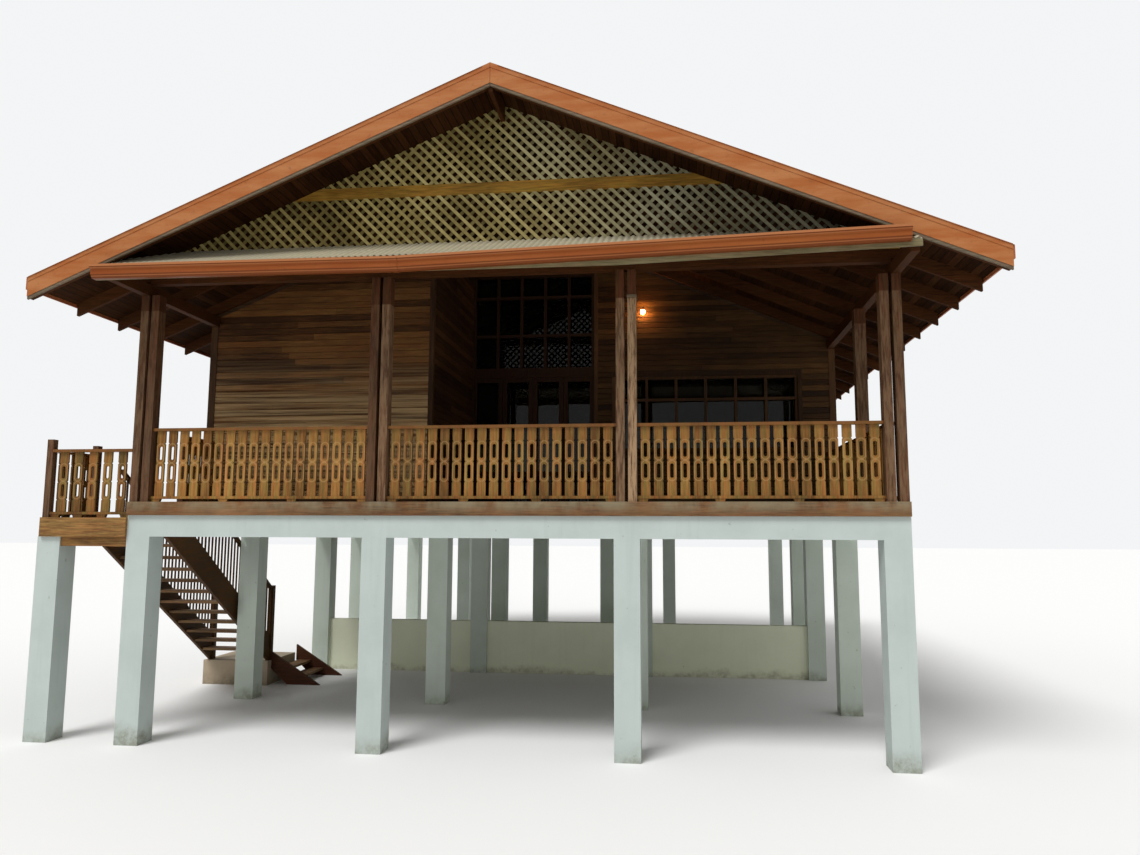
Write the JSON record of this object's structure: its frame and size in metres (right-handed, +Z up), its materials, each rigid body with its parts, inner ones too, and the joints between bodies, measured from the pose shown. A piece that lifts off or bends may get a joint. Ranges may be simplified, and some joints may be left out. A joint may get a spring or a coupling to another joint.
{
  "type": "stilt house",
  "caption": "Timber house on white concrete stilts with a railed front veranda, latticed gable, side stair and low-pitched roof.",
  "frame": {"origin": "centre of the footprint's box at ground level, under the feet of the posts", "axes": "+Z up, +Y from the veranda front to the back of the house, +X to the right as seen from the front"},
  "size_m": [11.8, 14.21, 8.1651],
  "materials": {
    "white_concrete": "matte",
    "tan_cement": "matte",
    "deck_timber": "matte",
    "dark_timber": "matte",
    "honey_timber": "satin",
    "wall_timber": "satin",
    "window_glass": "polished",
    "terracotta_sheet": "matte",
    "terracotta_timber": "matte",
    "beige_sheet": "matte",
    "olive_timber": "matte",
    "lamp_glow": "gloss"
  },
  "bodies": {
    "root": {"posts_row_1": "white_concrete", "posts_row_2": "white_concrete", "posts_row_3": "white_concrete", "posts_rear": "white_concrete", "landing_post": "white_concrete", "cross_beams": "white_concrete", "long_beams": "white_concrete", "low_wall": "white_concrete", "lower_landing": "tan_cement", "floor_joists": "dark_timber", "deck_floor": "deck_timber", "deck_edge_boards": "deck_timber", "landing_deck": "deck_timber", "landing_edge": "deck_timber", "stair_stringers": "dark_timber", "stair_treads": "deck_timber", "stair_railing_left": "dark_timber", "stair_railing_right": "dark_timber", "short_flight_stringers": "deck_timber", "short_flight_treads": "deck_timber", "railing_front_left": "honey_timber", "railing_front_middle": "honey_timber", "railing_front_right": "honey_timber", "railing_sides": "honey_timber", "landing_railing": "honey_timber", "veranda_posts": "dark_timber", "side_posts": "dark_timber", "side_plates": "dark_timber", "front_beam": "dark_timber", "front_wall": "wall_timber", "recess_side_wall": "wall_timber", "recess_wall": "wall_timber", "left_wall": "wall_timber", "right_wall": "wall_timber", "rear_wall": "wall_timber", "door_leaves": "dark_timber", "glazing_frame": "wall_timber", "window_frames": "wall_timber", "window_glass": "window_glass", "rafters_left": "dark_timber", "rafters_right": "dark_timber", "ridge_board": "dark_timber", "roof_left": "terracotta_sheet", "roof_right": "terracotta_sheet", "ridge_cap": "terracotta_sheet", "bargeboards": "terracotta_timber", "eave_fascias": "terracotta_timber", "pent_roofs": "beige_sheet", "gutter_boards": "beige_sheet", "gutters": "terracotta_sheet", "gable_boards": "olive_timber", "lattice_lower_left": "olive_timber", "lattice_lower_right": "olive_timber", "lattice_upper": "olive_timber", "wall_lamp": "lamp_glow"}
  },
  "joints": []
}
